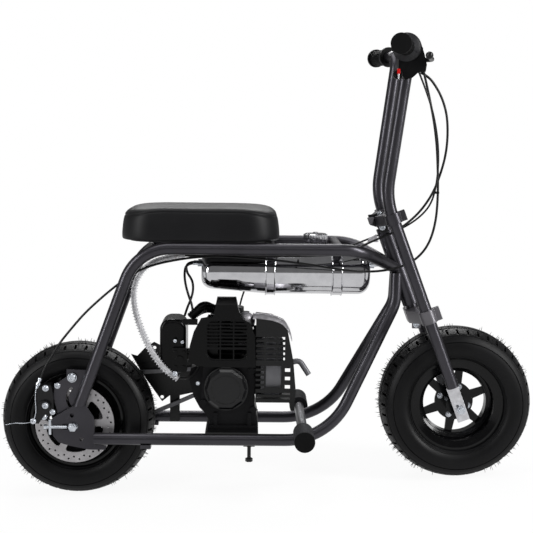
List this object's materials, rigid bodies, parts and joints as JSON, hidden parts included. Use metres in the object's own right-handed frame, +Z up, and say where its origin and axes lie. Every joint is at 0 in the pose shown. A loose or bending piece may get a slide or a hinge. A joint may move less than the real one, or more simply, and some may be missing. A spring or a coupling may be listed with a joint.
{
  "type": "minibike",
  "caption": "Small motorised two-wheeler with a twin-loop tube frame, straight fork, flat seat, round chrome fuel tank and rope-start engine.",
  "frame": {"origin": "middle of the seat's top, where the rider sits", "axes": "+X forward, +Y to the machine's left, +Z up"},
  "size_m": [1.1513, 0.4784, 0.9522],
  "materials": {
    "frame": "dark graphite satin powder coat",
    "black_plastic": "satin moulded plastic",
    "black_steel": "black painted sheet steel",
    "casting": "dark sand-cast",
    "seat": "smooth black vinyl",
    "rubber": "matte",
    "cable": "black cable sheath",
    "tyre": "matte, with fine tread",
    "rim": "gloss black",
    "chrome": "polished",
    "zinc": "zinc plated",
    "steel": "ground"
  },
  "bodies": {
    "frame": {"top_tube_left": "frame", "top_tube_right": "frame", "down_tube_left": "frame", "down_tube_right": "frame", "head_tube": "frame", "rear_plates": "frame", "cross_tubes": "frame", "peg_bar": "frame", "caliper_bracket": "frame", "air_box": "black_plastic", "fan_shroud": "black_plastic", "starter_cover": "black_plastic", "plug_cap": "black_plastic", "carburettor": "black_plastic", "engine_plate": "black_steel", "seat_pan": "black_steel", "chain_guard": "black_steel", "muffler_guard": "black_steel", "heat_shield": "black_steel", "brake_caliper": "black_steel", "clutch": "black_steel", "tank_straps": "black_steel", "crankcase": "casting", "cylinder": "casting", "muffler": "casting", "seat_cushion": "seat", "foot_pegs": "rubber", "fuel_line_front": "rubber", "fuel_line_rear": "rubber", "cable_sleeve": "rubber", "brake_cable": "cable", "throttle_cable": "cable", "kill_wire": "cable", "fuel_tank": "chrome", "tank_cap": "chrome", "rear_axle": "zinc", "chain_adjusters": "zinc", "tank_fittings": "zinc", "chain": "steel"},
    "steering": {"stem": "frame", "fork_tube_left": "frame", "fork_tube_right": "frame", "upper_clamp": "frame", "lower_clamp": "frame", "grips": "rubber", "throttle_housing": "black_plastic", "brake_lever": "black_steel", "fork_ends": "zinc", "front_axle": "zinc"},
    "front_wheel": {"tyre_front": "tyre", "rim_front": "rim"},
    "rear_wheel": {"tyre_rear": "tyre", "rim_rear": "rim", "brake_disc": "steel", "rear_sprocket": "steel"}
  },
  "joints": [
    {"name": "steering_turn", "type": "hinge", "parent": "frame", "child": "steering", "pos_m": [0.42199, 0, -0.17966], "axis": [-0.3063, 0, 0.9519], "range_deg": [-25, 25], "deforming": ["brake_cable", "throttle_cable", "kill_wire"]},
    {"name": "front_wheel_spin", "type": "hinge", "parent": "steering", "child": "front_wheel", "pos_m": [0.53007, 0, -0.46003], "axis": [0, 1, 0], "continuous": true},
    {"name": "rear_wheel_spin", "type": "hinge", "parent": "frame", "child": "rear_wheel", "pos_m": [-0.29133, 0, -0.46003], "axis": [0, 1, 0], "continuous": true}
  ]
}
